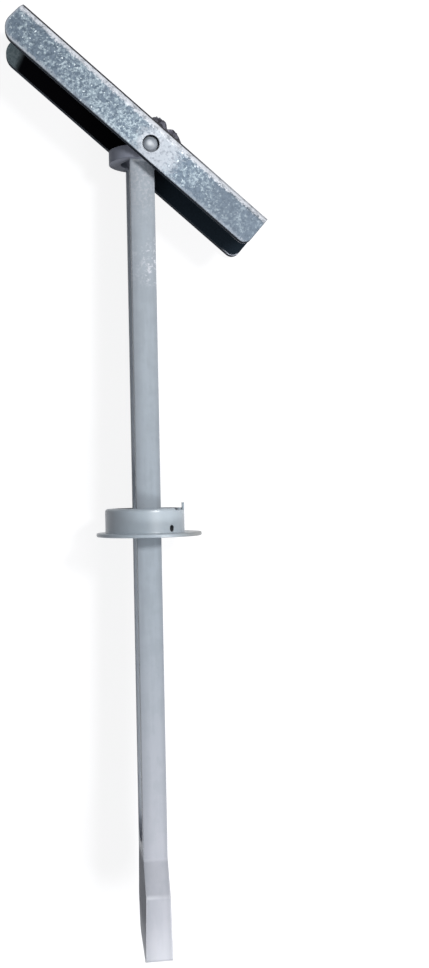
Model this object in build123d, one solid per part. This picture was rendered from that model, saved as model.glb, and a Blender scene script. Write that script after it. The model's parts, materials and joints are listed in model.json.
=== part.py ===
"""Strap toggle anchor for drywall: a steel channel that flips on a plastic yoke, and a sliding collar.

The pieces are modelled standing up, in millimetres: the pivot axis lies along Y through the origin, the
strap hangs down along -Z, and the channel's long arm points up and to the left. At the end the whole
anchor is laid on its side, as it comes to rest on a table, with the origin below the middle of it.
"""
import os
from math import asin, cos, degrees, radians, sin, sqrt, tan

from build123d import *

# ---- Channel: one pressed strip of zinc-plated steel --------------------------------------------------
channel_length = 49.0          # end to end, along the web
channel_width = 12.0           # over the two flanges
channel_height = 5.9           # from the web's outer face to the free edges
sheet = 1.2                    # thickness of the strip
bend_radius = 1.7              # outside radius of the two bends
long_arm = 27.9                # from the pivot to the end that leads through the wall
pivot_depth = 3.6              # from the web's outer face to the pivot axis
long_end_lean = 4.0            # of the long arm's end, so that its flanges lead, in degrees
long_end_radius = 2.5          # rounded free corners of the long arm
short_end_radius = 1.4         # rounded free corners of the short arm
lean = 40.8                    # how far the short arm droops from square with the strap, in degrees

# ---- Threaded neck, drawn out of the web --------------------------------------------------------------
bolt_radius = 2.4              # the machine screw that the neck takes
thread_radius = 1.95           # bore of the neck, at the crests of its thread
neck_wall = 1.15
neck_height = 1.6              # above the web, at the highest petal
neck_slant = 2.5               # of the torn rim, down towards the short arm, in degrees
neck_ring_height = 0.65        # up to the bottom of the tears
neck_lip = 0.45                # rounding of the rim's outer edge
tears = {3: 1.9, 88: 2.8, 183: 2.1, 272: 1.5}    # splits in the rim: degrees round, and width at the top

# ---- Pivot --------------------------------------------------------------------------------------------
pin_radius = 1.25
pin_clearance = 0.05           # between a pin and its hole in the flange
pin_recess = 0.1               # of the domed pin end below the flange's face
pin_dome = 0.5

# ---- Strap: one plastic moulding, from the yoke to the pull tab ---------------------------------------
strap_width = 3.8              # across each leg
strap_thickness = 1.0
strap_offset = 1.2             # of the legs to the left of the pivot
bolt_room = 0.2                # between the bolt and what it passes
yoke_radius = 4.85
yoke_top = 0.2                 # above the pivot axis
yoke_height = 1.95
yoke_wall = 1.85               # at the closed side
yoke_side_clearance = 0.2      # between a cheek and its flange
ear_clearance = 0.3            # between the ears and the web, all the way round the swing
root_fillet = 0.5              # where the legs leave the yoke
tip_depth = 125.4              # from the pivot to the end of the tab
fork_depth = 106.0             # from the pivot to where the two legs join

tab_reach = 3.3                # of the tab's straight edge in front of the legs
tab_edge_length = 9.9
tab_ramp_height = 5.0
tab_ridge_radius = 1.0         # where the ramp meets the legs and the tab's straight edge
tab_bulge = 0.8                # of the tab's round edge behind the legs
tab_bulge_height = 9.3         # above the tip
tab_heel_height = 2.4
tab_heel_reach = 2.6           # of the heel from the round edge
tab_heel_radius = 4.0
tab_flare = 0.2                # of each face, at the tip
tab_tip_radius = 0.6

# ---- Collar: a flanged bush that slides along the legs ------------------------------------------------
collar_depth = 60.45           # from the pivot down to the flange's outer face
flange_radius = 8.3
flange_thickness = 0.6
flange_shift = 0.65            # of the flange to the right of the spigot
spigot_radius = 6.25           # fits the hole drilled in the board
spigot_height = 3.8
spigot_wall = 1.0
spigot_shift = 0.27            # to the left of the legs' centre line
floor_thickness = 1.6
leg_clearance = 0.15           # between the legs and their slots
collar_bolt_room = 0.6         # between the bolt and its hole
rim_fillet = 0.5
flange_fillet = 0.2

window_angle = 36.0            # the small window low in the spigot's wall, in degrees round from the front
window_width = 0.8
window_height = 1.05
window_bottom = 0.15           # above the flange
dip_start = 45.0               # the stretch of the rim that is lower, in degrees round from the front
dip_end = 78.0
dip_depth = 0.3
fin_angle = 84.0               # the small upright fin at the end of that stretch
fin_width = 1.6
fin_thickness = 0.35
fin_rise = 0.8                 # above the rim

# ---- Sizes that follow --------------------------------------------------------------------------------
short_arm = channel_length - long_arm
flange_inner = channel_width / 2 - sheet
pin_hole_radius = pin_radius + pin_clearance
cheek_outer = flange_inner - yoke_side_clearance
leg_inner = bolt_radius + bolt_room
leg_outer = leg_inner + strap_thickness
ear_radius = pivot_depth - sheet - ear_clearance
far = 400.0                    # longer than anything here, for cutting tools
nearly = 0.01                  # how close counts as the same place, when edges are picked
steepest_tilt = 15.0           # degrees within which the tilt at rest is sought


def box(low, high):
    """A block given by its lowest and highest corners."""
    size = [high[axis] - low[axis] for axis in range(3)]
    return Pos(*low) * Box(*size, align=(Align.MIN, Align.MIN, Align.MIN))


def cylinder_along_y(radius, near, distant):
    """A round bar along Y, between two values of Y."""
    bar = Cylinder(radius, distant - near, align=(Align.CENTER, Align.CENTER, Align.MIN))
    return Pos(0, near, 0) * Rotation(-90, 0, 0) * bar


def cylinder_along_x(radius):
    """A long round bar along X."""
    return Rotation(0, 90, 0) * Cylinder(radius, far)


# ---- Channel ------------------------------------------------------------------------------------------
def neck():
    """The collar that the punch draws up around the thread, torn into petals at its rim."""
    outer = thread_radius + neck_wall
    ring = Cylinder(outer, neck_height, align=(Align.CENTER, Align.CENTER, Align.MIN))
    above = Rotation(0, neck_slant, 0) * box((0, -far, 0), (far, far, far))
    ring -= Pos(-outer, 0, neck_height) * above
    ring = fillet(ring.faces().sort_by(Axis.Z)[-1].edges(), neck_lip)
    depth = neck_height - neck_ring_height
    for turn, width in tears.items():
        split = Polygon((-width / 2, 0), (width / 2, 0), (0, -depth), align=None)
        wedge = extrude(Plane.XZ * split, amount=outer * 2)
        ring -= Rotation(0, 0, turn) * Pos(0, 0, neck_height) * wedge
    return ring


def channel():
    """The pressed channel, with its length along X and its open side down."""
    half = channel_width / 2
    outside = Pos(0, -channel_height / 2) * Rectangle(channel_width, channel_height)
    outside = fillet(outside.vertices().group_by(Axis.Y)[-1], bend_radius)
    inside_height = channel_height - sheet
    inside = Pos(0, -sheet - inside_height / 2) * Rectangle(2 * (half - sheet), inside_height)
    inside = fillet(inside.vertices().group_by(Axis.Y)[-1], bend_radius - sheet)
    lead = channel_height * tan(radians(long_end_lean))
    body = extrude(Plane.YZ * (outside - inside), amount=lead + channel_length)
    body = Pos(-long_arm - lead, 0, pivot_depth) * body
    beyond = Rotation(0, long_end_lean, 0) * box((-far, -far, -far), (0, far, far))
    body -= Pos(-long_arm, 0, pivot_depth) * beyond

    free_edges = body.edges().filter_by(Axis.Y).group_by(Axis.Z)[0]
    long_corners = free_edges.group_by(Axis.X)[0]
    body = fillet(long_corners, long_end_radius)
    free_edges = body.edges().filter_by(Axis.Y).group_by(Axis.Z)[0]
    short_corners = free_edges.group_by(Axis.X)[-1]
    body = fillet(short_corners, short_end_radius)

    body += Pos(0, 0, pivot_depth) * neck()
    bore = Cylinder(thread_radius, far)
    return body - bore - cylinder_along_y(pin_hole_radius, -far, far)


# ---- Strap --------------------------------------------------------------------------------------------
def yoke():
    """The loop that carries the channel: a horseshoe, open on the side where the channel folds down."""
    centre = -strap_offset
    loop = Pos(centre, 0) * Circle(yoke_radius)
    loop &= Rectangle(far, 2 * cheek_outer)
    open_end = centre + strap_width / 2
    loop += Pos((centre + open_end) / 2, 0) * Rectangle(open_end - centre, 2 * cheek_outer)
    loop -= Pos(open_end + far / 2, 0) * Rectangle(far, far)
    hole_end = centre - yoke_radius + yoke_wall + leg_inner
    loop -= Pos(hole_end, 0) * Circle(leg_inner)
    loop -= Pos(hole_end + far / 2, 0) * Rectangle(far, 2 * leg_inner)
    body = Pos(0, 0, yoke_top - yoke_height) * extrude(loop, amount=yoke_height)

    for side in (-1, 1):
        near, distant = sorted((side * leg_inner, side * cheek_outer))
        body += cylinder_along_y(ear_radius, near, distant)
    return body


def pin(side):
    """A trunnion with a domed end, which sits a little inside the flange's outer face."""
    root = (leg_inner + cheek_outer) / 2
    end = channel_width / 2 - pin_recess
    dome_radius = (pin_radius ** 2 + pin_dome ** 2) / (2 * pin_dome)
    bar = cylinder_along_y(pin_radius, root, end) & Pos(0, end - dome_radius, 0) * Sphere(dome_radius)
    return bar if side > 0 else Rotation(0, 0, 180) * bar


def side_outline():
    """The legs and the pull tab seen from the side: Y across, Z up."""
    top = yoke_top - yoke_height
    tip = -tip_depth
    shoulder = tip + tab_edge_length + tab_ramp_height
    front = -leg_outer - tab_reach
    back = leg_outer + tab_bulge
    points = [
        (-leg_outer, top),
        (-leg_outer, shoulder),
        (front, tip + tab_edge_length),
        (front, tip),
        (back - tab_heel_reach, tip + tab_heel_height),
        (back, tip + tab_bulge_height - tab_heel_radius / 2),
        (back, tip + tab_bulge_height + tab_heel_radius / 4),
        (leg_outer, shoulder),
        (leg_outer, top),
    ]
    outline = Polygon(*points, align=None)
    corners = outline.vertices()
    heel = [corners.sort_by_distance((*point, 0))[0] for point in points[4:6]]
    outline = fillet(heel, tab_heel_radius / 2)
    corners = outline.vertices()
    ridges = [corners.sort_by_distance((*point, 0))[0] for point in points[1:3]]
    outline = fillet(ridges, tab_ridge_radius)
    by_height = outline.vertices().sort_by(Axis.Y)
    return fillet(by_height[0], tab_tip_radius)


def front_outline():
    """The legs and the pull tab seen from the front: X across, Z up."""
    top = yoke_top - yoke_height
    flare_top = -tip_depth + tab_edge_length
    half = strap_width / 2
    right = [(half, top), (half, flare_top), (half + tab_flare, -tip_depth)]
    left = [(-x, z) for x, z in reversed(right)]
    return Pos(-strap_offset, 0) * Polygon(*right, *left, align=None)


def strap():
    """Yoke, two legs and pull tab: a single moulding."""
    blade = extrude(Plane.YZ * side_outline(), amount=far / 2, both=True)
    blade &= extrude(Plane.XZ * front_outline(), amount=far / 2, both=True)
    gap_end = Pos(0, 0, -fork_depth) * cylinder_along_x(leg_inner)
    blade -= gap_end + box((-far, -leg_inner, -fork_depth), (far, leg_inner, 0))
    body = yoke() + blade
    root = yoke_top - yoke_height
    roots = body.edges().filter_by(Axis.X).filter_by_position(Axis.Z, root - nearly, root + nearly)
    roots = [edge for edge in roots if abs(abs(edge.center().Y) - leg_outer) < nearly]
    body = fillet(roots, root_fillet)
    for side in (-1, 1):
        body += pin(side)
    return body


# ---- Collar -------------------------------------------------------------------------------------------
def around(radius, angle):
    """A point on a circle, by its angle from the front towards the right, in degrees."""
    return radius * sin(radians(angle)), -radius * cos(radians(angle))


def sector(inner, outer, start, end, height):
    """A block between two radii and two angles, standing on Z = 0."""
    reach = outer / cos(radians(end - start) / 2) + 1
    fan = Polygon((0, 0), around(reach, start), around(reach, end), align=None)
    ring = Circle(outer) - Circle(inner)
    return extrude(ring & fan, amount=height)


def wall_cuts():
    """The window in the spigot's wall and the dip in its rim, standing on the flange."""
    middle = spigot_radius - spigot_wall / 2
    inner = middle - spigot_wall
    outer = middle + spigot_wall
    slot = Rotation(0, 0, 90) * SlotOverall(window_height, window_width)
    opening = Plane.XZ * Pos(0, window_bottom + window_height / 2) * slot
    window = Rotation(0, 0, window_angle) * Pos(0, -inner, 0) * extrude(opening, amount=outer - inner)
    dip = sector(inner, outer, dip_start, dip_end, 2 * dip_depth)
    return window + Pos(0, 0, spigot_height - dip_depth) * dip


def passage():
    """The opening for the two legs and, between them, the bolt."""
    half_width = strap_width / 2 + leg_clearance
    inner = leg_inner - leg_clearance
    outer = leg_outer + leg_clearance
    bolt_hole = Circle(bolt_radius + collar_bolt_room)
    for side in (-1, 1):
        slot = Rectangle(2 * half_width, outer - inner)
        bolt_hole += Pos(-strap_offset, side * (inner + outer) / 2) * slot
    return extrude(bolt_hole, amount=far / 2, both=True)


def collar():
    """The bush, with its flange's outer face on Z = 0 and the bolt's axis on X = 0."""
    upright = (Align.CENTER, Align.CENTER, Align.MIN)
    centre = -strap_offset - spigot_shift
    rim = flange_thickness + spigot_height
    shell = Cylinder(spigot_radius, rim, align=upright)
    shell = fillet(shell.edges().group_by(Axis.Z)[-1], rim_fillet)
    hollow = Pos(0, 0, floor_thickness) * Cylinder(spigot_radius - spigot_wall, rim, align=upright)
    shell = shell - hollow - Pos(0, 0, flange_thickness) * wall_cuts()
    half_fin = degrees(asin(fin_width / 2 / spigot_radius))
    fin_sides = (fin_angle - half_fin, fin_angle + half_fin)
    fin = sector(spigot_radius - fin_thickness, spigot_radius, *fin_sides, rim + fin_rise)
    flange = Cylinder(flange_radius, flange_thickness, align=upright)
    flange = fillet(flange.edges().filter_by(GeomType.CIRCLE), flange_fillet)
    body = Pos(centre, 0, 0) * (shell + fin + Pos(flange_shift, 0, 0) * flange)
    return body - passage()


# ---- Lying on its side --------------------------------------------------------------------------------
def rest_tilt():
    """Degrees about the channel's length by which the collar lifts the anchor off its flank.

    It lies on the bend along one flange and on the rim of the collar's flange, so the tilt is the one
    at which both reach equally far down.
    """
    slope = radians(lean)
    flange_x = flange_shift - strap_offset - spigot_shift
    flange_z = flange_thickness - flange_fillet - collar_depth
    round_radius = flange_radius - flange_fillet
    low, high = 0.0, radians(steepest_tilt)
    while high - low > radians(nearly) ** 2:
        tilt = (low + high) / 2
        down = (sin(slope) * sin(tilt), cos(tilt), cos(slope) * sin(tilt))
        bend = (channel_width / 2 - bend_radius) * cos(tilt) + (pivot_depth - bend_radius) * sin(tilt)
        bend += bend_radius
        rim = down[0] * flange_x + down[2] * flange_z + round_radius * sqrt(down[0] ** 2 + down[1] ** 2)
        rim += flange_fillet
        if rim > bend:
            low = tilt
        else:
            high = tilt
    return degrees(tilt)


def lay_down(pieces):
    """The turn and the shift that bring the standing anchor to rest on Z = 0, centred on the origin."""
    slope = radians(lean)
    channel_line = Axis((0, 0, 0), (cos(slope), -sin(slope), 0))
    turned = [piece.rotate(Axis.X, -90).rotate(channel_line, -rest_tilt()) for piece in pieces]
    reach = Compound(children=[Compound(piece.solids()) for piece in turned]).bounding_box()
    shift = Vector(-(reach.min.X + reach.max.X) / 2, -(reach.min.Y + reach.max.Y) / 2, -reach.min.Z)
    return [piece.translate(shift) for piece in turned], shift


def standing_pieces():
    """The three pieces as the anchor hangs together, by name."""
    return {
        "toggle_channel": Rotation(0, lean, 0) * channel(),
        "strap": strap(),
        "collar": Pos(0, 0, -collar_depth) * collar(),
    }


def main():
    os.makedirs("parts", exist_ok=True)
    pieces = standing_pieces()
    resting, shift = lay_down(pieces.values())
    for name, piece in zip(pieces, resting):
        export_step(piece, f"parts/{name}.step")
    print("tilt", round(rest_tilt(), 3), "shift", shift)


main()
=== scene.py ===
# %% [markdown]
# # A strap toggle anchor, dressed for the studio
#
# This anchor holds a machine screw in a hollow wall. A pressed steel channel flips behind the
# board, a plastic strap pulls it tight, and a flanged collar slides up the strap into the drilled
# hole.
#
# The shapes come finished from the CAD model: this lesson gives them their surfaces, adds the
# small things that only a close look shows, and lights them. Blender works in metres here, while a
# part of this size is easier to think about in millimetres. So all lengths below are written in
# millimetres, and `MM` turns them into metres where Blender needs them.

# %% Load the model and keep its box
import json
import math

import bpy
from mathutils import Matrix, Vector


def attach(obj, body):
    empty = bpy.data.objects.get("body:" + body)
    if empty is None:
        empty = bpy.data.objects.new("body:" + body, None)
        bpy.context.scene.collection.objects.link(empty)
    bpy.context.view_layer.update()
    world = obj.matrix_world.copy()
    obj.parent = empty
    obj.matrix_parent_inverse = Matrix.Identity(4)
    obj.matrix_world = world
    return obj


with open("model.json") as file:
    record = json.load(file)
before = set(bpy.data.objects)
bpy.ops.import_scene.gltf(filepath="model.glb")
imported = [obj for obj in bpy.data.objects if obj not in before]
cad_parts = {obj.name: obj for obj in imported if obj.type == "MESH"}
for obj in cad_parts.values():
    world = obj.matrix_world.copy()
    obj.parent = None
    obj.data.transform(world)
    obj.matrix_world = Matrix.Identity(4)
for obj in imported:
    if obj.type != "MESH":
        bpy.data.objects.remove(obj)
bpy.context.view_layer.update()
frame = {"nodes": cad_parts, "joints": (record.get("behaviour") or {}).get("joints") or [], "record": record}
MM = 0.001
print("pieces from CAD:", sorted(frame["nodes"]))

# %% [markdown]
# ## Two frames to think in
#
# The anchor lies on its side, a little tilted, so the world's axes are awkward for placing things
# on it. Its joints tell how it stands in use: the pivot runs `ACROSS` it and the collar slides
# `UP` the strap. The channel swings, so it gets a frame of its own, from the axis of its threaded
# neck. Both frames start at the pivot. In both, X runs to the right, Y along the pivot and Z up.

# %% The strap's frame and the channel's frame
joints = {joint["name"]: joint for joint in frame["joints"]}
mounts = {mount["name"]: mount for mount in frame["record"]["mounts"]}

PIVOT = Vector(joints["toggle_pivot"]["pos_m"])
ACROSS = Vector(joints["toggle_pivot"]["axis"]).normalized()
UP = Vector(joints["collar_slide"]["axis"]).normalized()
OUTWARD = -Vector(mounts["bolt_thread"]["axis"]).normalized()


def frame_at_pivot(across, up):
    """A matrix whose Y is the pivot's line and whose Z is the given direction."""
    right = across.cross(up)
    return Matrix.Translation(PIVOT) @ Matrix((right, across, up)).transposed().to_4x4()


strap_frame = frame_at_pivot(ACROSS, UP)
channel_frame = frame_at_pivot(ACROSS, OUTWARD)
print("the channel leans", round(math.degrees(UP.angle(OUTWARD)), 1), "degrees")

# %% [markdown]
# ## Measuring the pieces
#
# A finish has to know where a bend starts or where the neck stands. Those places are read from the
# CAD pieces, seen in the frame that suits them, and so they follow if the model changes. Only what
# a box can't tell, such as the thickness of the sheet, is written down as a number.

# %% Measure each piece in its own frame
NECK_HEIGHT = 1.6
NECK_WALL = 1.15
SHEET = 1.2
BEND_RADIUS = 1.7


def reach(node, seen_from):
    """The lowest and highest corner of a CAD piece, in millimetres, seen from a frame."""
    into = seen_from.inverted()
    points = [into @ vertex.co for vertex in frame["nodes"][node].data.vertices]
    low = Vector(min(point[axis] for point in points) for axis in range(3)) / MM
    high = Vector(max(point[axis] for point in points) for axis in range(3)) / MM
    return low, high


channel_low, channel_high = reach("toggle_channel", channel_frame)
strap_low, strap_high = reach("strap", strap_frame)
print("channel in its frame:", [round(v, 2) for v in (*channel_low, *channel_high)])
print("strap in its frame:", [round(v, 2) for v in (*strap_low, *strap_high)])

BORE_RADIUS = mounts["bolt_thread"]["dims"]["r_mm"]
NECK_RADIUS = BORE_RADIUS + NECK_WALL
WEB_FACE = channel_high.z - NECK_HEIGHT
BEND_START = WEB_FACE - BEND_RADIUS
HALF_WIDTH = channel_high.y
print("the web's outer face is", round(WEB_FACE, 2), "mm from the pivot")

# %% [markdown]
# ## The camera
#
# The anchor is seen from straight in front while it lies on the table, so the camera hangs above
# it and looks down. It stands a little to the left of the strap and level with the collar, which
# is why the far flange of the channel shows below the near one. It is under 20 centimetres away,
# as when the anchor is held in the hand, so near parts look a little larger than far ones.

# %% Place the camera
CAMERA_FROM_PIVOT = Vector((-19.95, -186.1, -52.8)) * MM
CAMERA_YAW = math.radians(9.08)
CAMERA_PITCH = math.radians(0.11)
CAMERA_ROLL = math.radians(-1.12)
FOCAL_LENGTH = 43.9
NEAREST_SEEN = 10

scene = bpy.context.scene
ahead = Vector((
    math.sin(CAMERA_YAW) * math.cos(CAMERA_PITCH),
    math.cos(CAMERA_YAW) * math.cos(CAMERA_PITCH),
    math.sin(CAMERA_PITCH),
))
level = Vector((math.cos(CAMERA_YAW), -math.sin(CAMERA_YAW), 0))
upright = level.cross(ahead)
right = level * math.cos(CAMERA_ROLL) + upright * math.sin(CAMERA_ROLL)
facing = Matrix((right, right.cross(ahead), -ahead)).transposed().to_4x4()

camera_data = bpy.data.cameras.new("camera")
camera_data.lens = FOCAL_LENGTH
camera_data.clip_start = NEAREST_SEEN * MM
camera = bpy.data.objects.new("camera", camera_data)
scene.collection.objects.link(camera)
camera.matrix_world = strap_frame @ Matrix.Translation(CAMERA_FROM_PIVOT) @ facing
scene.camera = camera
print("camera stands at", [round(v, 3) for v in camera.matrix_world.translation])

# %% [markdown]
# ## Sums with nodes
#
# A material is a tree of nodes, and each Math node does one sum. Written out, a mask such as "near
# the pivot but not inside" takes many lines. So a socket is wrapped in a `Field`, a value that
# differs from place to place: adding or multiplying two fields adds the node and links it. The
# tree comes out just the same, and the script reads like sums on paper. The first cell below adds
# nodes, and the second makes fields of their outputs.

# %% Add nodes and link them


def plug(tree, socket, value):
    """Links a socket to a field or to another socket, or sets it to a plain value."""
    value = value.socket if isinstance(value, Field) else value
    if isinstance(value, bpy.types.NodeSocket):
        tree.links.new(value, socket)
    else:
        socket.default_value = value


def add_node(tree, kind, settings=None, **inputs):
    """Adds a node, sets its properties, and fills or links its inputs by name."""
    node = tree.nodes.new(kind)
    for name, value in (settings or {}).items():
        setattr(node, name, value)
    for name, value in inputs.items():
        plug(tree, node.inputs[name.replace("_", " ")], value)
    return node


print("nodes can be added and linked")

# %% A field: a socket that sums can be done with


class Field:
    """A value that differs from place to place, held by a socket of a node tree."""

    def __init__(self, tree, socket):
        self.tree = tree
        self.socket = socket

    def sum_of(self, operation, first, second=0.0):
        """The result of one Math node, as a field."""
        node = add_node(self.tree, "ShaderNodeMath", {"operation": operation})
        plug(self.tree, node.inputs[0], first)
        plug(self.tree, node.inputs[1], second)
        return Field(self.tree, node.outputs[0])

    def __add__(self, other):
        return self.sum_of("ADD", self, other)

    def __sub__(self, other):
        return self.sum_of("SUBTRACT", self, other)

    def __rsub__(self, other):
        return self.sum_of("SUBTRACT", other, self)

    def __mul__(self, other):
        return self.sum_of("MULTIPLY", self, other)

    def __abs__(self):
        return self.sum_of("ABSOLUTE", self)

    def or_more(self, other):
        """The larger of this field and another value."""
        return self.sum_of("MAXIMUM", self, other)

    def root(self):
        """The square root."""
        return self.sum_of("SQRT", self)


print("fields can be added, subtracted and multiplied")

# %% [markdown]
# ## The floor and the world
#
# The backdrop is to be plain white without flooding the part with light. A floor that only looks
# white does that: rays from the camera, and those that a shiny or clear surface sends on, meet a
# gentle glow, while all other rays meet a mid grey floor. The grey part still takes shadows. The
# floor is large, so that its far edge is a straight horizon in a low view. The Standard view
# transform shows the white as it is, without dimming it as a film would.

# %% The white world
AMBIENT = (0.17, 0.18, 0.20, 1)
WHITE = (1, 1, 1, 1)


def seen_directly(tree):
    """1 for rays from the camera, or on from a shiny or clear surface, and else 0."""
    path = add_node(tree, "ShaderNodeLightPath")
    camera_ray = Field(tree, path.outputs["Is Camera Ray"])
    shiny_or_camera = camera_ray.or_more(path.outputs["Is Glossy Ray"])
    return shiny_or_camera.or_more(path.outputs["Is Transmission Ray"])


scene.view_settings.view_transform = "Standard"
world = bpy.data.worlds.new("studio")
world.use_nodes = True
scene.world = world
world_tree = world.node_tree
world_tree.nodes.clear()
dim = add_node(world_tree, "ShaderNodeBackground", Color=AMBIENT)
bright = add_node(world_tree, "ShaderNodeBackground", Color=WHITE)
choose = add_node(world_tree, "ShaderNodeMixShader", Fac=seen_directly(world_tree))
plug(world_tree, choose.inputs[1], dim.outputs[0])
plug(world_tree, choose.inputs[2], bright.outputs[0])
add_node(world_tree, "ShaderNodeOutputWorld", Surface=choose.outputs[0])
print("world for ordinary rays:", AMBIENT[:3])

# %% The floor
FLOOR_HALF = 8000 * MM
FLOOR_GREY = (0.20, 0.20, 0.21, 1)
FLOOR_GLOW = 0.88

floor_mesh = bpy.data.meshes.new("floor")
corners = [(-FLOOR_HALF, -FLOOR_HALF, 0), (FLOOR_HALF, -FLOOR_HALF, 0),
           (FLOOR_HALF, FLOOR_HALF, 0), (-FLOOR_HALF, FLOOR_HALF, 0)]
floor_mesh.from_pydata(corners, [], [(0, 1, 2, 3)])
floor = bpy.data.objects.new("floor", floor_mesh)
scene.collection.objects.link(floor)

floor_paint = bpy.data.materials.new("pale_floor")
floor_paint.use_nodes = True
floor_tree = floor_paint.node_tree
floor_tree.nodes.clear()
grey = add_node(floor_tree, "ShaderNodeBsdfDiffuse", Color=FLOOR_GREY)
glow = add_node(floor_tree, "ShaderNodeEmission",
                Strength=seen_directly(floor_tree) * FLOOR_GLOW)
total = add_node(floor_tree, "ShaderNodeAddShader")
plug(floor_tree, total.inputs[0], grey.outputs[0])
plug(floor_tree, total.inputs[1], glow.outputs[0])
add_node(floor_tree, "ShaderNodeOutputMaterial", Surface=total.outputs[0])
floor_mesh.materials.append(floor_paint)
print("floor glow towards the camera:", FLOOR_GLOW)

# %% [markdown]
# ## The lamps
#
# A small soft lamp hangs close to the anchor, to the right of it and level with the pivot. Because
# it is close, the channel throws a shadow on the strap, and so does the collar's flange on the
# legs below it, while the left sides stay in the shade. A weaker lamp by the pull tab lifts the
# lower end.

# %% Hang the lamps


def soft_lamp(name, place, aim, size, power):
    """A square area lamp, placed and aimed in the strap's frame, in millimetres."""
    data = bpy.data.lights.new(name, "AREA")
    data.size = size * MM
    data.energy = power
    lamp = bpy.data.objects.new(name, data)
    scene.collection.objects.link(lamp)
    start = strap_frame @ (Vector(place) * MM)
    end = strap_frame @ (Vector(aim) * MM)
    turn = (start - end).to_track_quat("Z", "Y")
    lamp.matrix_world = Matrix.Translation(start) @ turn.to_matrix().to_4x4()
    return lamp


key = soft_lamp("key_lamp", place=(110, -225, 27), aim=(0, 0, -40), size=46, power=0.470)
low = soft_lamp("low_lamp", place=(80, -130, -190), aim=(0, 0, -128), size=60, power=0.215)
print("lamps:", key.name, low.name)

# %% [markdown]
# ## Coordinates for the finishes
#
# A pattern has to stay on its piece when the piece swings, so it reads Object coordinates. A
# Mapping node turns those into millimetres in the strap's or the channel's frame. Then a mask such
# as "near the pivot" or "inside the channel" is a simple sum of X, Y and Z.

# %% Millimetres in a piece's own frame


def in_millimetres(tree, seen_from):
    """Object coordinates, turned into millimetres in the given frame."""
    into = seen_from.inverted()
    coordinates = add_node(tree, "ShaderNodeTexCoord")
    mapping = add_node(tree, "ShaderNodeMapping", Vector=coordinates.outputs["Object"],
                       Location=into.translation / MM, Rotation=into.to_euler(),
                       Scale=(1 / MM,) * 3)
    return Field(tree, mapping.outputs["Vector"])


def split(place):
    """The X, Y and Z of a place, as three fields."""
    parts = add_node(place.tree, "ShaderNodeSeparateXYZ", Vector=place).outputs
    return [Field(place.tree, part) for part in parts]


def radius(first, second):
    """The length of the vector whose two parts are given."""
    return (first * first + second * second).root()


print("places are measured in millimetres")

# %% [markdown]
# ## Three tools for every finish
#
# A ramp turns a measure into a mask: 0 on one side of a place, 1 on the other, soft in between.
# Noise breaks masks up, because nothing that was pressed or moulded has a perfectly even edge. And
# one colour covers another wherever a mask says so, which is how a finish is built up in layers.

# %% Ramps, noise and layers of colour
UNDER, OVER, MIXED = 6, 7, 2


def ramp(value, start, end, low_value=0.0, high_value=1.0):
    """Rises or falls smoothly from low_value to high_value as value goes from start to end."""
    node = add_node(value.tree, "ShaderNodeMapRange", {"interpolation_type": "SMOOTHSTEP"},
                    Value=value, From_Min=start, From_Max=end, To_Min=low_value, To_Max=high_value)
    return Field(value.tree, node.outputs["Result"])


def noise(place, size, detail=2.0, roughness=0.5):
    """Soft random clouds of about the given size in millimetres."""
    node = add_node(place.tree, "ShaderNodeTexNoise", Vector=place, Scale=1 / size, Detail=detail,
                    Roughness=roughness)
    return Field(place.tree, node.outputs["Fac"])


def covered(under, over, where):
    """One colour covered by another, by a mask from 0 to 1, through a Mix node's colour sockets."""
    node = add_node(where.tree, "ShaderNodeMix", {"data_type": "RGBA"}, Factor=where)
    plug(where.tree, node.inputs[UNDER], under)
    plug(where.tree, node.inputs[OVER], over)
    return node.outputs[MIXED]


print("ready to layer colours")

# %% Start a finish, round its edges, put it on
BEVEL_SAMPLES = 4


def new_finish(name):
    """An empty material with a Principled shader. Returns the material, its tree and the shader."""
    material = bpy.data.materials.new(name)
    material.use_nodes = True
    tree = material.node_tree
    tree.nodes.clear()
    shader = add_node(tree, "ShaderNodeBsdfPrincipled")
    add_node(tree, "ShaderNodeOutputMaterial", Surface=shader.outputs[0])
    return material, tree, shader


def round_off(tree, shader, height, strength, depth, edge):
    """Roughens a finish with a height pattern and softens its sharp edges, both in millimetres."""
    bevel = add_node(tree, "ShaderNodeBevel", {"samples": BEVEL_SAMPLES}, Radius=edge * MM)
    bump = add_node(tree, "ShaderNodeBump", Height=height, Normal=bevel.outputs[0],
                    Strength=strength, Distance=depth * MM)
    plug(tree, shader.inputs["Normal"], bump.outputs[0])


def wear(node_name, material):
    """Gives a CAD piece its finish."""
    piece = frame["nodes"][node_name]
    piece.data.materials.clear()
    piece.data.materials.append(material)


print("finishes can be started, softened and worn")

# %% [markdown]
# ## Zinc on pressed steel
#
# Hot zinc sets in crystals, so the flat faces are blue-grey with fine pale flecks, thicker in some
# places than in others. A flat pattern wrapped round the channel would show seams at the bends, so
# noise of several sizes is used instead, which fills space: clouds say where the flecks crowd
# together, spots are the flecks themselves, and grain mottles the ground between them. To the
# right the zinc lies thinner and looks darker.

# %% Ground, flecks and sparkles
STEEL_BLUE = (0.140, 0.182, 0.232, 1)
STEEL_DEEP = (0.078, 0.107, 0.142, 1)
FLECK_PALE = (0.205, 0.258, 0.302, 1)
FLECK_BRIGHT = (0.400, 0.475, 0.520, 1)
SPARKLE = (0.680, 0.760, 0.800, 1)
THIN_ZINC = (0.060, 0.075, 0.095, 1)

zinc, tree, shader = new_finish("zinc_plate")
place = in_millimetres(tree, channel_frame)
x, y, z = split(place)
off_centre = abs(y)
from_pivot = radius(x, z)
from_neck = radius(x, y)

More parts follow.
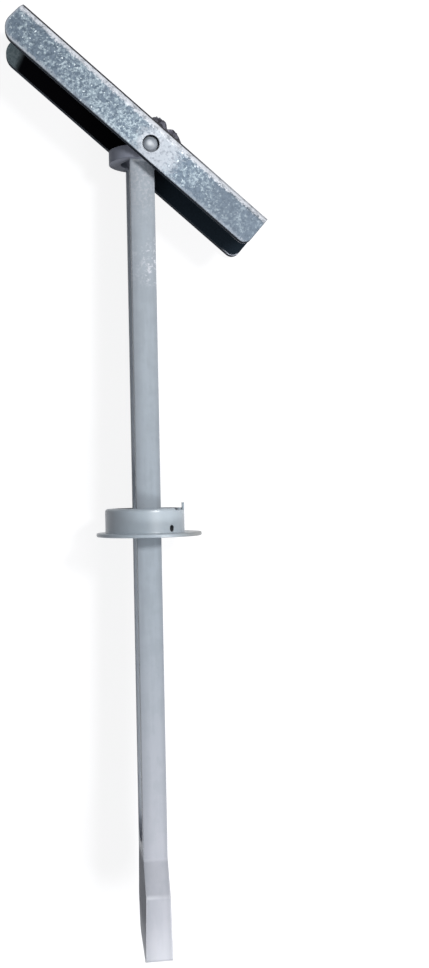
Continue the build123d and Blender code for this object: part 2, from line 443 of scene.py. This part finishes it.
clouds = noise(place, 3.2, 3.0, 0.6)
grain = noise(place, 0.60, 3.0, 0.62)
fine = noise(place, 0.36, 2.0, 0.70)
spots = noise(place, 0.44, 2.0, 0.60)
thicker_left = ramp(x, -24, -12) * ramp(x, 3, -4)
crowding = ramp(clouds + thicker_left * 0.17, 0.38, 0.66)
flecks = ramp(spots + crowding * 0.16, 0.54, 0.78)
fleck_shade = covered(FLECK_PALE, FLECK_BRIGHT, ramp(fine, 0.44, 0.60))
sparkles = ramp(noise(place, 0.50, 1.0, 0.5), 0.66, 0.74) * ramp(x, 6, 16, 1.0, 0.35)
thinner = ramp(x, 2, 16, 0.12, 0.68).or_more(ramp(x, -18, -27, 0.0, 0.10))

base = covered(STEEL_DEEP, STEEL_BLUE, ramp(grain, 0.34, 0.64))
base = covered(base, fleck_shade, flecks)
base = covered(base, SPARKLE, sparkles)
base = covered(base, THIN_ZINC, thinner)
print("flecks, clouds and grain are mixed")

# %% [markdown]
# ## The bends' painted highlight and the pale places
#
# A pale, patchy strip with brighter streaks is painted along the two bends as a highlight, where they
# turn to the light. Round the pivot's hole the flange is smoother and paler, more to the right than to
# the left, and the hole's rim is bright above the pin. The flanges' free edges are paler too, most of
# all near the long end. The masks are a distance plus some noise, so their edges come out ragged.

# %% Painted highlight on the bends, and the pale patch round the pivot
PALE_ZINC = (0.335, 0.360, 0.395, 1)
SCUFF = (0.200, 0.215, 0.245, 1)
BRIGHT_ZINC = (0.690, 0.715, 0.765, 1)

ragged = z + fine * 1.5
strip_top = ragged - ramp(abs(x), 4, 16, 0.0, 0.15) - ramp(x, 9, 15, 0.0, 0.16)
round_bend = ramp(off_centre - fine * 0.5, HALF_WIDTH - 2.15, HALF_WIDTH - 1.75)
bend_highlight = round_bend * ramp(strip_top, BEND_START + 0.80, BEND_START + 1.45)
longer_right = from_pivot + fine * 4.6 - ramp(x, -3, 4, -0.7, 2.2)
round_pivot = ramp(longer_right, 6.3, 3.6, 0.0, 0.85)
smooth_and_highlit = bend_highlight.or_more(round_pivot)
pale_patchy = covered(PALE_ZINC, SCUFF, ramp(grain, 0.50, 0.36, 0.0, 0.8))
shine = ramp(noise(place, 0.8, 3.0, 0.7), 0.30, 0.56) * ramp(x, 2, 12, 0.95, 0.88)
ring = ramp(from_pivot + fine * 1.8, 3.1, 2.2) * ramp(z - x, -0.8, 1.2, 0.05, 0.26)

# A pale strip painted as highlight along the bends, and a pale patch round the pivot.
base = covered(base, pale_patchy, smooth_and_highlit)
# Brighter streaks of painted highlight along the bends.
base = covered(base, BRIGHT_ZINC, bend_highlight * shine)
base = covered(base, BRIGHT_ZINC, ring)
print("the bends and the pivot are smoothed")

# %% The flanges' free edges
rolled_edge = ramp(ragged, channel_low.z + 1.40, channel_low.z + 0.95)
rolled_edge = rolled_edge * ramp(x, -14, -24, 0.28, 0.75)
base = covered(base, PALE_ZINC, rolled_edge)
print("free edges from", round(channel_low.z, 2), "mm")

# %% [markdown]
# ## The painted shade inside and the sheared edges
#
# Inside the channel the zinc is dull, and painted nearly black as the shade of the flanges. It is
# painted lighter on the web and at the end that leads through the wall, as where daylight reaches.
# How deep a point lies under the outer skin tells the inside from the outside, and from the sheared
# edges in between.

# %% How deep a point lies under the outer skin
across_bend = (off_centre - (HALF_WIDTH - BEND_RADIUS)).or_more(0.0)
above_bend = (z - BEND_START).or_more(0.0)
depth = BEND_RADIUS - radius(across_bend, above_bend)
inside = ramp(depth, SHEET - 0.10, SHEET - 0.04)
on_outside = ramp(depth, 0.3, 0.2)
between_faces = ramp(depth, 0.04, 0.10) * ramp(depth, SHEET - 0.04, SHEET - 0.10)
sheared_and_shaded = between_faces * ramp(from_neck, NECK_RADIUS - 0.1, NECK_RADIUS + 0.1)
print("the inside starts", SHEET, "mm under the skin")

# %% Painted shade and light inside the channel
INSIDE_LONG = (0.006, 0.006, 0.008, 1)
INSIDE_SHORT = (0.028, 0.042, 0.058, 1)
INSIDE_END = (0.250, 0.300, 0.325, 1)
INSIDE_MOTTLE = (0.175, 0.225, 0.245, 1)
INSIDE_WEB = (0.085, 0.104, 0.122, 1)
INSIDE_WEB_DEEP = (0.045, 0.056, 0.068, 1)

slanting = x + (z - channel_low.z) * 0.30
at_long_end = ramp(slanting, channel_low.x + 4.0, channel_low.x + 2.6)
end_shade = covered(INSIDE_MOTTLE, INSIDE_END, ramp(grain, 0.38, 0.60))
web_shade = covered(INSIDE_WEB_DEEP, INSIDE_WEB, ramp(grain * clouds, 0.20, 0.36))
# Painted shade: near black along the long arm, dark blue along the short one; painted light at the long end
# and on the web.
inner_shade = covered(INSIDE_LONG, INSIDE_SHORT, ramp(x, 0, 8))
inner_shade = covered(inner_shade, end_shade, at_long_end)
inner_shade = covered(inner_shade, web_shade, ramp(z, 0.3, 2.6))
base = covered(base, inner_shade, inside)
print("the inside is dull")

# %% [markdown]
# ## Lines and corners
#
# A dark, broken line is painted where each bend runs into the web, for the dark that the bend
# reflects. The sheared edges are dark bare steel, and on the walls of the pivot's holes that dark is
# also painted shade. Corners show too: burnished inside the short end, pale at the long end and thinly
# outlined elsewhere. A Bevel node finds corners, because it rounds the normal there and nowhere else.

# %% The painted dark reflection along the bends, and the sheared edges
CUT_EDGE_AND_SHADE = (0.022, 0.028, 0.038, 1)
DARK_REFLECTION = (0.012, 0.012, 0.015, 1)

broken_edge = off_centre + (fine - 0.5) * 0.6
along_bend = ramp(broken_edge, HALF_WIDTH - 1.62, HALF_WIDTH - 1.22)
# A painted dark reflection: a broken dark line where each bend meets the web.
dark_reflection_line = ramp(z, WEB_FACE - 0.60, WEB_FACE - 0.42) * along_bend * ramp(x, 2, 16, 1.0, 0.40)
# Sheared edges are dark bare steel; on the walls of the pivot's holes the same dark is painted shade.
base = covered(base, CUT_EDGE_AND_SHADE, sheared_and_shaded)
base = covered(base, DARK_REFLECTION, dark_reflection_line)
print("the die's line is drawn")

# %% Corners
BORDER = (0.045, 0.050, 0.062, 1)
BURNISHED = (0.620, 0.640, 0.690, 1)
FLAT = 0.97
CORNER = 0.85


def near_edge(tree, within, samples):
    """How near a sharp edge is, from 0 to 1, by how far a rounded normal leaves the true one."""
    rounded = add_node(tree, "ShaderNodeBevel", {"samples": samples}, Radius=within * MM)
    true = add_node(tree, "ShaderNodeNewGeometry")
    turn = add_node(tree, "ShaderNodeVectorMath", {"operation": "DOT_PRODUCT"})
    plug(tree, turn.inputs[0], rounded.outputs[0])
    plug(tree, turn.inputs[1], true.outputs["Normal"])
    return ramp(Field(tree, turn.outputs["Value"]), FLAT, CORNER)


border = near_edge(tree, 0.30, 6) * 0.75
pale_end = near_edge(tree, 1.3, 8) * ramp(x, channel_low.x + 7.0, channel_low.x + 3.0, 0.0, 0.5)
short_end = inside * ramp(x, channel_high.x - 3.0, channel_high.x - 1.5)
inner_corner = near_edge(tree, 0.5, 6) * short_end
base = covered(base, PALE_ZINC, pale_end * on_outside)
base = covered(base, BORDER, border * on_outside)
base = covered(base, BURNISHED, inner_corner * ramp(z, -0.8, -1.4))
print("corners are marked")

# %% [markdown]
# ## The torn neck, the gloss and the relief
#
# The neck was torn out of the web after plating, so it is bare steel, painted dark as shade and a
# little lighter in patches. Last comes what light does on all this. The outside is metal with a satin
# gloss. Dark dull places are metal too, but so rough that they mirror nothing, and the painted dark
# line along the bends doesn't shine.

# %% Finish the channel
TORN_AND_SHADED = (0.032, 0.031, 0.042, 1)
TORN_LIGHTER = (0.140, 0.140, 0.170, 1)

torn_and_shaded = covered(TORN_AND_SHADED, TORN_LIGHTER, ramp(noise(place, 0.9, 2.0, 0.6), 0.46, 0.62))
# The bare neck, painted dark as shade, with lighter patches.
base = covered(base, torn_and_shaded, ramp(z, WEB_FACE + 0.02, WEB_FACE + 0.10))
plug(tree, shader.inputs["Base Color"], base)

dull_places = inside.or_more(sheared_and_shaded)
plug(tree, shader.inputs["Metallic"], ramp(dark_reflection_line, 0, 1, 0.75, 0.0).or_more(dull_places))
satin = ramp(smooth_and_highlit, 0, 1, 0.52, 0.46)
plug(tree, shader.inputs["Roughness"], satin.or_more(dull_places.or_more(dark_reflection_line)))
round_off(tree, shader, grain, strength=0.25, depth=0.04, edge=0.15)
wear("toggle_channel", zinc)
print("the channel wears", zinc.name)

# %% [markdown]
# ## The thread in the neck
#
# The neck is tapped for a machine screw, so a fine ridge winds round its bore. A thread follows a
# rule, and Geometry Nodes are made for rules: a spiral curve, and a small diamond swept along it.
# Most of the diamond lies buried in the wall, so only its crest stands in the bore. The ridge ends
# where the torn petals begin, because only a whole wall can carry it.

# %% Helpers for Geometry Nodes


def rule_tree(name, sizes):
    """An empty Geometry Nodes tree with one named input for each size, and its two end nodes."""
    tree = bpy.data.node_groups.new(name, "GeometryNodeTree")
    for label, (kind, value) in sizes.items():
        socket = tree.interface.new_socket(label, in_out="INPUT", socket_type="NodeSocket" + kind)
        if kind != "Object":
            socket.default_value = value
    tree.interface.new_socket("Geometry", in_out="OUTPUT", socket_type="NodeSocketGeometry")
    return tree, tree.nodes.new("NodeGroupInput").outputs, tree.nodes.new("NodeGroupOutput").inputs


def finish_rule(tree, geometry, material, result):
    """Ends a tree in real faces that wear a material."""
    real = add_node(tree, "GeometryNodeRealizeInstances", Geometry=geometry)
    painted = add_node(tree, "GeometryNodeSetMaterial", Geometry=real.outputs[0], Material=material)
    plug(tree, result["Geometry"], painted.outputs[0])


def made_by_rule(name, tree, sizes):
    """A plain mesh object, made once by a Geometry Nodes tree from the given sizes."""
    piece = bpy.data.objects.new(name, bpy.data.meshes.new(name))
    scene.collection.objects.link(piece)
    modifier = piece.modifiers.new(name, "NODES")
    modifier.node_group = tree
    for item in tree.interface.items_tree:
        if item.in_out == "INPUT":
            modifier[item.identifier] = sizes[item.name][1]
    evaluated = piece.evaluated_get(bpy.context.evaluated_depsgraph_get())
    mesh = bpy.data.meshes.new_from_object(evaluated)
    piece.modifiers.remove(modifier)
    piece.data = mesh
    return piece


print("ready to grow pieces from rules")

# %% Wind the thread
PITCH = 25.4 / 24
RIDGE = 0.24
BURIED = 0.13
CLEAR_OF_ENDS = 0.15
WHOLE_WALL = mounts["bolt_thread"]["dims"]["length_mm"]
THREAD_HEIGHT = WHOLE_WALL - 2 * CLEAR_OF_ENDS

thread_sizes = {
    "Bore radius": ("Float", (BORE_RADIUS + BURIED) * MM),
    "Height": ("Float", THREAD_HEIGHT * MM),
    "Turns": ("Float", THREAD_HEIGHT / PITCH),
    "Ridge": ("Float", RIDGE * MM),
}
tree, given, result = rule_tree("thread_rule", thread_sizes)
spiral = add_node(tree, "GeometryNodeCurveSpiral", Resolution=48, Rotations=given["Turns"],
                  Start_Radius=given["Bore radius"], End_Radius=given["Bore radius"],
                  Height=given["Height"])
level_curve = add_node(tree, "GeometryNodeSetCurveNormal", {"mode": "Z_UP"},
                       Curve=spiral.outputs[0])
diamond = add_node(tree, "GeometryNodeCurvePrimitiveCircle", Resolution=4, Radius=given["Ridge"])
ridge = add_node(tree, "GeometryNodeCurveToMesh", Curve=level_curve.outputs[0],
                 Profile_Curve=diamond.outputs["Curve"], Fill_Caps=True)
finish_rule(tree, ridge.outputs[0], zinc, result)

thread = made_by_rule("neck_thread", tree, thread_sizes)
bore_foot = Matrix.Translation((0, 0, (WEB_FACE - SHEET + CLEAR_OF_ENDS) * MM))
thread.data.transform(channel_frame @ bore_foot)
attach(thread, "channel_body")
print("thread:", len(thread.data.polygons), "faces,", round(thread_sizes["Turns"][1], 2), "turns")

# %% [markdown]
# ## Burrs on the torn petals
#
# The punch does not cut the neck's rim, it tears it, and leaves little slivers of steel standing
# on the petals. They are too fine and too many to place by hand. A second rule scatters points on
# the highest parts of the neck and stands a thin, slightly leaning cone on each, with a fixed seed
# so that every run grows the same ones.

# %% Where burrs may stand
BURR_BAND = 0.62
burr_sizes = {
    "Channel": ("Object", frame["nodes"]["toggle_channel"]),
    "Foot": ("Vector", channel_frame.translation),
    "Outward": ("Vector", OUTWARD),
    "Lowest": ("Float", (channel_high.z - BURR_BAND) * MM),
    "Density": ("Float", 3.0 / MM ** 2),
    "Length": ("Float", 0.17 * MM),
    "Width": ("Float", 0.11 * MM),
    "Seed": ("Int", 7),
}
tree, given, result = rule_tree("burr_rule", burr_sizes)
source = add_node(tree, "GeometryNodeObjectInfo", Object=given["Channel"])
position = add_node(tree, "GeometryNodeInputPosition")
offset = add_node(tree, "ShaderNodeVectorMath", {"operation": "SUBTRACT"})
plug(tree, offset.inputs[0], position.outputs[0])
plug(tree, offset.inputs[1], given["Foot"])
height = add_node(tree, "ShaderNodeVectorMath", {"operation": "DOT_PRODUCT"})
plug(tree, height.inputs[0], offset.outputs[0])
plug(tree, height.inputs[1], given["Outward"])
high_enough = add_node(tree, "FunctionNodeCompare", {"operation": "GREATER_THAN"})
plug(tree, high_enough.inputs[0], height.outputs["Value"])
plug(tree, high_enough.inputs[1], given["Lowest"])
scatter = add_node(tree, "GeometryNodeDistributePointsOnFaces", Mesh=source.outputs["Geometry"],
                   Selection=high_enough.outputs[0], Density=given["Density"], Seed=given["Seed"])
print("burrs stand in the top", BURR_BAND, "mm of the neck")

# %% Grow the burrs
LEAN = 0.7
TURN = 3.1
SMALLEST = 0.4
LARGEST = 1.2
VECTOR_MIN, VECTOR_MAX, FLOAT_MIN, FLOAT_MAX = range(4)

sliver = add_node(tree, "GeometryNodeMeshCone", Vertices=5, Radius_Bottom=given["Width"],
                  Depth=given["Length"])
stand = add_node(tree, "FunctionNodeAlignRotationToVector", {"axis": "Z"}, Vector=given["Outward"])
lean_range = add_node(tree, "FunctionNodeRandomValue", {"data_type": "FLOAT_VECTOR"},
                      Seed=given["Seed"])
lean_range.inputs[VECTOR_MIN].default_value = (-LEAN, -LEAN, -TURN)
lean_range.inputs[VECTOR_MAX].default_value = (LEAN, LEAN, TURN)
leaning = add_node(tree, "FunctionNodeRotateRotation", {"rotation_space": "LOCAL"},
                   Rotation=stand.outputs[0], Rotate_By=lean_range.outputs[0])
size_range = add_node(tree, "FunctionNodeRandomValue", {"data_type": "FLOAT"}, Seed=given["Seed"])
size_range.inputs[FLOAT_MIN].default_value = SMALLEST
size_range.inputs[FLOAT_MAX].default_value = LARGEST
burrs_on_points = add_node(tree, "GeometryNodeInstanceOnPoints", Points=scatter.outputs["Points"],
                           Instance=sliver.outputs["Mesh"], Rotation=leaning.outputs[0],
                           Scale=size_range.outputs[1])
finish_rule(tree, burrs_on_points.outputs[0], zinc, result)

burrs = made_by_rule("neck_burrs", tree, burr_sizes)
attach(burrs, "channel_body")
print("burrs:", len(burrs.data.polygons), "faces")

# %% [markdown]
# ## Moulded plastic
#
# Strap and collar are natural nylon: milky, slightly blue in the shade, with a satin skin. A
# little light goes into it and comes out again close by, which subsurface scattering gives. The
# mould's flow leaves faint clouds and streaks along the strap, and the strap is painted lighter
# towards the tab, as if more light fell there. One function makes the plastic. What only one
# piece has is left to a second function that it calls.

# %% Plastic in general
NYLON_IOR = 1.53
SCATTERED = 0.12
SCATTER_REACH = 0.6
LIGHTER_BELOW = -60


def nylon(name, tint, whiter, streak_length, mottling, satin, shine, marks):
    """Milky satin plastic. marks adds a piece's own shades and says where its skin is duller."""
    material, tree, shader = new_finish(name)
    place = in_millimetres(tree, strap_frame)
    along = split(place)[2]
    stretched = add_node(tree, "ShaderNodeMapping", Vector=place, Scale=(1, 1, 1 / streak_length))
    streaks = noise(Field(tree, stretched.outputs["Vector"]), 0.9, 3.0, 0.55)
    clouds = noise(place, 2.6, 3.0, 0.6)
    deeper = tuple(0.82 * channel for channel in tint[:3]) + (1,)
    mottle = ramp(streaks * clouds, 0.16, 0.34, 0.0, mottling)
    # Painted light: the strap grows lighter from here towards the tab.
    base = covered(tint, whiter, ramp(along, LIGHTER_BELOW, strap_low.z + 4))
    base = covered(base, deeper, mottle * ramp(along, strap_low.z + 12, LIGHTER_BELOW, 0.35, 1.0))
    base, duller = marks(place, base)
    gloss = ramp(clouds, 0.3, 0.7, satin - 0.04, satin + 0.04)
    plug(tree, shader.inputs["Base Color"], base)
    plug(tree, shader.inputs["Roughness"], gloss + duller)
    shader.inputs["IOR"].default_value = NYLON_IOR
    shader.inputs["Specular IOR Level"].default_value = shine
    shader.inputs["Subsurface Weight"].default_value = SCATTERED
    shader.inputs["Subsurface Radius"].default_value = (1.0, 1.0, 1.2)
    shader.inputs["Subsurface Scale"].default_value = SCATTER_REACH * MM
    round_off(tree, shader, noise(place, 0.22, 2.0, 0.5), strength=0.15, depth=0.02, edge=0.3)
    return material


print("plastic is ready to be tinted")

# %% [markdown]
# ## The strap from yoke to tip
#
# The yoke works inside the steel and is duller than the legs, and it is painted darker as the shade
# it lies in. Below it the legs carry pale blotches of painted light reflected from the channel, and
# a patch is scraped from sliding in and out of the steel. The tab's tip is painted whitest, as the
# place most lit. All shades are layers again, each with its own mask.

# %% Yoke shade, reflected light, tip light and scrapes
YOKE_FOOT = -1.75
SHADED_NYLON = (0.175, 0.172, 0.232, 1)
REFLECTED_LIGHT = (0.560, 0.560, 0.600, 1)
TIP_PAINTED_LIGHT = (0.860, 0.870, 0.920, 1)
SCRAPE = (0.640, 0.660, 0.710, 1)


def shade_yoke_and_tip(base, place, along, yoke):
    """The yoke painted darker as shade, reflected light painted below it and the tip painted white."""
    # Painted shade on the yoke, which lies under the steel.
    base = covered(base, SHADED_NYLON, yoke * 0.62)
    blotches = ramp(noise(place, 0.45, 2.0, 0.6), 0.46, 0.62)
    below_yoke = ramp(along, -15, -4, 0.0, 0.42) * (1.0 - yoke)
    # Pale blotches of painted light, reflected from the channel, on the legs below the yoke.
    base = covered(base, REFLECTED_LIGHT, blotches * below_yoke)
    # Painted light: the tip grows whiter, as the place most lit.
    near_tip = ramp(along, strap_low.z + 8, strap_low.z + 0.5, 0.0, 0.32)
    return covered(base, TIP_PAINTED_LIGHT, near_tip)


def scrape_legs(base, place, along, from_left):
    """The scraped patch below the channel, on the right half of each leg."""
    patch = ramp(along, -13.0, -16.5) * ramp(along, -22.5, -19.5)
    patch = patch * ramp(from_left, 1.0, 2.8, 0.15, 0.85)
    scrapes = ramp(noise(place, 0.55, 3.0, 0.65), 0.50, 0.66)
    return covered(base, SCRAPE, patch * scrapes)


print("the yoke ends", -YOKE_FOOT, "mm below the pivot")

# %% [markdown]
# ## Edges and sides of the legs
#
# A darker margin of painted shade runs down both sides of each leg. On the inner faces a narrow
# band is painted light, as if light came through from behind. Below the gap the strap is solid: its
# sides are painted a little light at first, dark as shade below the shoulder and lighter again
# towards the tip, while the round end of the gap gets painted shade of its own.

# %% Painted shade on the margins, painted light from behind, and the solid part's sides
LEGS_BESIDE_PIVOT = -1.2
LEG_HALF_WIDTH = 1.9
LEG_INNER = 2.6
FORK = -106.0
SHOULDER = -110.5
TAB_EDGE = 9.9
TAB_FLARE = 0.2
MARGIN_SHADE = (0.140, 0.155, 0.180, 1)
PAINTED_GLOW = (0.800, 0.850, 0.900, 1)
SHADY_SIDE = (0.130, 0.118, 0.138, 1)


def darken_margins(base, along, from_left, yoke):
    """The margins of painted shade down the left and right of the legs and the tab."""
    left = ramp(from_left, -0.8, 2.1, 0.62, 0.0) * ramp(along, -50, -72, 1.22, 0.90)
    right = ramp(from_left, 2 * LEG_HALF_WIDTH - 0.9, 2 * LEG_HALF_WIDTH + 0.1, 0.0, 0.34)
    margin = left.or_more(right) * ramp(along, SHOULDER, SHOULDER - 5, 1.0, 0.6)
    return covered(base, MARGIN_SHADE, margin * (1.0 - yoke))


def paint_light_from_behind(base, along, from_left, from_middle, yoke):
    """The band of each leg's inner face that is painted light, as if lit through from behind."""
    inner_face = ramp(from_middle, LEG_INNER + 0.08, LEG_INNER + 0.02)
    glow = (ramp(along, -20, -95, 0.45, 1.0) - yoke).or_more(0.0)
    above_fork = glow * ramp(along, FORK - 2, FORK + 1)
    band = above_fork * ramp(from_left, 1.7, 1.0, 0.15, 1.0)
    return covered(base, PAINTED_GLOW, inner_face * band)


def on_side(beside, along):
    """1 on the left and right sides of the strap, also where the tab flares out."""
    below_edge = strap_low.z + TAB_EDGE - along
    flare = (below_edge * (TAB_FLARE / TAB_EDGE)).or_more(0.0)
    from_legs = abs(beside - LEGS_BESIDE_PIVOT)
    return ramp(from_legs - flare, LEG_HALF_WIDTH - 0.06, LEG_HALF_WIDTH - 0.02)


print("the legs join at", FORK, "mm and the tab starts at", SHOULDER, "mm")

# %% The solid part's sides and the end of the gap


def shade_solid_part(base, off_middle, along, side):
    """The sides below the gap and the gap's round end. Also returns where the side is shady."""
    # Painted light on the sides just below the gap.
    base = covered(base, PAINTED_GLOW, side * ramp(along, FORK - 1, FORK - 2.5) * 0.5)
    shady = side * ramp(along, SHOULDER + 1.2, SHOULDER - 0.8, 0.0, 0.52)
    shady = shady * ramp(along, strap_low.z + 0.5, strap_low.z + 7.0, 0.15, 1.0)
    base = covered(base, SHADY_SIDE, shady)
    from_gap_end = radius(off_middle, along - FORK)
    lowest = ramp(along, FORK - 1.6, FORK - 2.2)
    round_end = lowest * ramp(from_gap_end, LEG_INNER + 0.25, LEG_INNER + 0.05)
    return covered(base, SHADED_NYLON, round_end * 0.8), shady


print("the gap ends in a half round of radius", LEG_INNER, "mm")

# %% [markdown]
# ## The pull tab's edges and the pins' ends
#
# The tab's edges and the two ridges across its face get painted highlights. The trunnion pins stand
# in the flanges' holes, where only their domed ends show: painted greyer than the legs, as shade in
# the holes, with a painted highlight near the middle.

# %% Painted highlights on the tab's edges, and the pin ends
RIDGE_HIGHLIGHT = (0.800, 0.810, 0.860, 1)
PIN_END_SHADE = (0.28, 0.31, 0.35, 1)
PIN_HIGHLIGHT = (0.74, 0.78, 0.82, 1)


def highlight_edges(base, along, from_left, side):
    """Painted highlights on the tab's edges and on the ridges across its face."""
    upper_ridge = ramp(abs(along - SHOULDER), 0.35, 0.05, 0.0, 0.05)
    lower_ridge = ramp(abs(along - (strap_low.z + TAB_EDGE)), 0.45, 0.05, 0.0, 0.38)
    lower_ridge = lower_ridge * ramp(from_left, 1.0, 3.0, 1.0, 0.35)
    edge = near_edge(along.tree, 0.40, 6) * ramp(along, SHOULDER, SHOULDER - 6, 0.0, 0.8)
    highlighted = edge.or_more(upper_ridge.or_more(lower_ridge))
    return covered(base, RIDGE_HIGHLIGHT, highlighted * (1.0 - side))


def shade_pin_ends(base, beside, along, from_middle):
    """The pins' domed ends. Also returns where they are."""
    beyond_cheek = ramp(from_middle, HALF_WIDTH - SHEET, HALF_WIDTH - SHEET + 0.1)
    pin_end = beyond_cheek * ramp(radius(beside, along), 1.6, 1.5)
    from_spot = radius(beside + 0.20, along - 0.12)
    # Painted shade on the pin ends in their holes, and a painted highlight near the middle.
    pin_shade = covered(PIN_END_SHADE, PIN_HIGHLIGHT, ramp(from_spot, 0.70, 0.10))
    return covered(base, pin_shade, pin_end), pin_end


print("edges and pins have their shades")

# %% [markdown]
# ## Dressing the strap
#
# The layers go on from the widest to the smallest. The skin is duller on the yoke and on the shady
# sides and glossier on the pins.

# %% Dress the strap
STRAP_TINT = (0.335, 0.382, 0.430, 1)
TAB_TINT = (0.455, 0.465, 0.515, 1)


def strap_marks(place, base):
    """All shades that only the strap has, and how much duller its skin is from place to place."""
    beside, off_middle, along = split(place)
    from_middle = abs(off_middle)
    from_left = beside - (LEGS_BESIDE_PIVOT - LEG_HALF_WIDTH)
    yoke = ramp(along, YOKE_FOOT - 0.12, YOKE_FOOT - 0.02)
    side = on_side(beside, along)
    base = shade_yoke_and_tip(base, place, along, yoke)
    base = darken_margins(base, along, from_left, yoke)
    base = scrape_legs(base, place, along, from_left)
    base = paint_light_from_behind(base, along, from_left, from_middle, yoke)
    base, shady = shade_solid_part(base, off_middle, along, side)
    base = highlight_edges(base, along, from_left, side)
    base, pin_end = shade_pin_ends(base, beside, along, from_middle)
    return base, (yoke * 0.22).or_more(shady * 0.6) - pin_end * 0.24


strap_plastic = nylon("strap_nylon", STRAP_TINT, TAB_TINT, streak_length=9.0, mottling=0.55,
                      satin=0.44, shine=0.5, marks=strap_marks)
wear("strap", strap_plastic)
print("the strap wears", strap_plastic.name)

# %% [markdown]
# ## The collar's own shades
#
# The collar is the same plastic, moulded smoother, so the lamp draws a stronger streak on it. Its
# wall gets a painted highlight just right of the middle and painted shade on the left, and the flange
# is darker towards its right edge. The small window low in the wall is a blind pocket, painted dark as
# shade: it is found by its angle round the spigot, and all within its reach and under the skin is shaded.

# %% Find the window
WINDOW_ANGLE = math.radians(36)
WINDOW_BELOW_MIDDLE = 1.22
WINDOW_REACH = 0.9
WALL_MIDDLE = 5.7
SPIGOT_RADIUS = mounts["spigot"]["dims"]["r_mm"]
SPIGOT_HALF_HEIGHT = mounts["spigot"]["dims"]["length_mm"] / 2

spigot_middle = strap_frame.inverted() @ Vector(mounts["spigot"]["pos_m"]) / MM
window = spigot_middle + Vector((WALL_MIDDLE * math.sin(WINDOW_ANGLE),
                                 -WALL_MIDDLE * math.cos(WINDOW_ANGLE), -WINDOW_BELOW_MIDDLE))
print("the window is at", [round(v, 1) for v in window])

# %% Dress the collar
COLLAR_TINT = (0.385, 0.445, 0.495, 1)
STREAK_HIGHLIGHT = (0.760, 0.820, 0.860, 1)
LEFT_SHADE = (0.200, 0.236, 0.280, 1)
FLANGE_RIGHT_DARK = (0.190, 0.192, 0.188, 1)
POCKET_SHADE = (0.060, 0.065, 0.075, 1)


def collar_marks(place, base):
    """The wall's painted highlight and shade, the darker right of the flange and the window's painted shade.
    """
    beside, off_middle, along = split(place)
    to_right = beside - spigot_middle.x
    from_axis = radius(to_right, off_middle - spigot_middle.y)
    flange_top = spigot_middle.z - SPIGOT_HALF_HEIGHT
    # Painted shade on the left of the wall.
    base = covered(base, LEFT_SHADE, ramp(to_right, -1.0, -4.5, 0.0, 0.20))
    highlight_streak = ramp(to_right, -1.0, 1.6) * ramp(to_right, 5.8, 3.0)
    on_spigot = ramp(along, flange_top - 0.05, flange_top + 0.20, 0.0, 0.15)
    # A painted highlight streak just right of the middle.
    base = covered(base, STREAK_HIGHLIGHT, highlight_streak * on_spigot)
    flange = ramp(from_axis, SPIGOT_RADIUS - 0.3, SPIGOT_RADIUS + 1.4)
    # The flange is darker towards its right edge.
    base = covered(base, FLANGE_RIGHT_DARK, flange * ramp(to_right, 2.0, 8.0, 0.0, 0.9))

    away = add_node(place.tree, "ShaderNodeVectorMath", {"operation": "DISTANCE"})
    plug(place.tree, away.inputs[0], place)
    plug(place.tree, away.inputs[1], window)
    near = ramp(Field(place.tree, away.outputs["Value"]), WINDOW_REACH + 0.1, WINDOW_REACH)
    pocket = near * ramp(from_axis, SPIGOT_RADIUS - 0.03, SPIGOT_RADIUS - 0.10)
    return covered(base, POCKET_SHADE, pocket), pocket * 0.6


collar_plastic = nylon("collar_nylon", COLLAR_TINT, COLLAR_TINT, streak_length=2.0, mottling=0.25,
                       satin=0.33, shine=0.85, marks=collar_marks)
wear("collar", collar_plastic)
print("the collar wears", collar_plastic.name)
